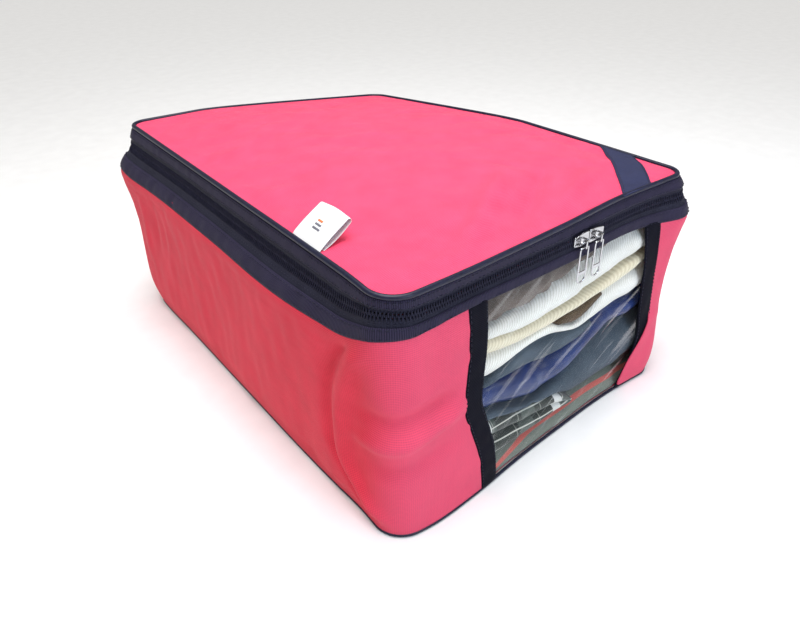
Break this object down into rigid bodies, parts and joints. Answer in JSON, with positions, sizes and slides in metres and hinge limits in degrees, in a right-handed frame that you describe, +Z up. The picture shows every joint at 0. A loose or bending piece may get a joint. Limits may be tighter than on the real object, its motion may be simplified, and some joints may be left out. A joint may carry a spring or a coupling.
{
  "type": "blanket storage bag",
  "caption": "Soft rectangular storage bag with a zipped, cloth-hinged lid, webbing trim, a clear window in one short side and folded blankets inside.",
  "frame": {"origin": "middle of the underside of the bag, on the surface it stands on", "axes": "+X along the short front side, +Y from the window side to the hinge side, +Z up"},
  "size_m": [0.39, 0.5139, 0.2533],
  "materials": {
    "red_cloth": "plain woven polyester, matt",
    "navy_webbing": "ribbed woven webbing",
    "zip_tape": "herringbone woven tape",
    "zip_coil": "satin nylon coil",
    "navy_piping": "smooth coated piping",
    "clear_film": "clear soft film, glossy",
    "chrome": "bright plated",
    "white_tape": "smooth satin tape",
    "white_ribbed": "ribbed soft pile",
    "cream_pile": "soft pile",
    "taupe_pile": "soft pile",
    "navy_satin": "satin quilt cover",
    "slate_cloth": "brushed cloth",
    "grey_plaid": "woven check",
    "striped_cloth": "brushed cloth with one red stripe"
  },
  "bodies": {
    "bag_base": {"bottom_panel": "red_cloth", "bottom_piping": "navy_piping", "side_wall_left": "red_cloth", "side_wall_right": "red_cloth", "window_film": "clear_film", "window_tape_left": "navy_webbing", "window_tape_right": "navy_webbing", "rim_webbing": "navy_webbing", "zip_tape_lower": "zip_tape", "zip_coil_lower": "zip_coil", "zip_end_tabs": "navy_webbing", "hinge_strip_lower": "navy_webbing", "blanket_striped": "striped_cloth", "blanket_plaid": "grey_plaid", "blanket_slate": "slate_cloth", "quilt_navy": "navy_satin", "blanket_grey": "slate_cloth", "blanket_cream": "cream_pile", "blanket_ribbed": "white_ribbed", "blanket_taupe": "taupe_pile"},
    "lid": {"hinge_strip_upper": "navy_webbing", "lid_gusset": "navy_webbing", "lid_piping": "navy_piping", "lid_panel": "red_cloth", "corner_strap": "navy_webbing", "label": "white_tape", "zip_tape_upper": "zip_tape", "zip_coil_upper": "zip_coil"},
    "slider_body_left": {"slider_left": "chrome"},
    "link_body_left": {"pull_link_left": "chrome"},
    "pull_body_left": {"pull_left": "chrome"},
    "slider_body_right": {"slider_right": "chrome"},
    "link_body_right": {"pull_link_right": "chrome"},
    "pull_body_right": {"pull_right": "chrome"}
  },
  "joints": [
    {"name": "lid_hinge", "type": "hinge", "parent": "bag_base", "child": "lid", "pos_m": [0, 0.2515, 0.216], "axis": [-1, 0, 0], "range_deg": [0, 120]},
    {"name": "slider_left_slide", "type": "slide", "parent": "bag_base", "child": "slider_body_left", "axis": [1, 0, 0], "range_m": [-0.15, 0]},
    {"name": "link_left_swing", "type": "hinge", "parent": "slider_body_left", "child": "link_body_left", "pos_m": [0.021, -0.2569, 0.216], "axis": [-1, 0, 0], "range_deg": [0, 90]},
    {"name": "pull_left_swing", "type": "hinge", "parent": "link_body_left", "child": "pull_body_left", "pos_m": [0.021, -0.2569, 0.2108], "axis": [-1, 0, 0], "range_deg": [-4, 90]},
    {"name": "slider_right_slide", "type": "slide", "parent": "bag_base", "child": "slider_body_right", "axis": [1, 0, 0], "range_m": [0, 0.08]},
    {"name": "link_right_swing", "type": "hinge", "parent": "slider_body_right", "child": "link_body_right", "pos_m": [0.041, -0.2569, 0.216], "axis": [-1, 0, 0], "range_deg": [0, 90]},
    {"name": "pull_right_swing", "type": "hinge", "parent": "link_body_right", "child": "pull_body_right", "pos_m": [0.041, -0.2569, 0.2108], "axis": [-1, 0, 0], "range_deg": [-4, 90]}
  ]
}
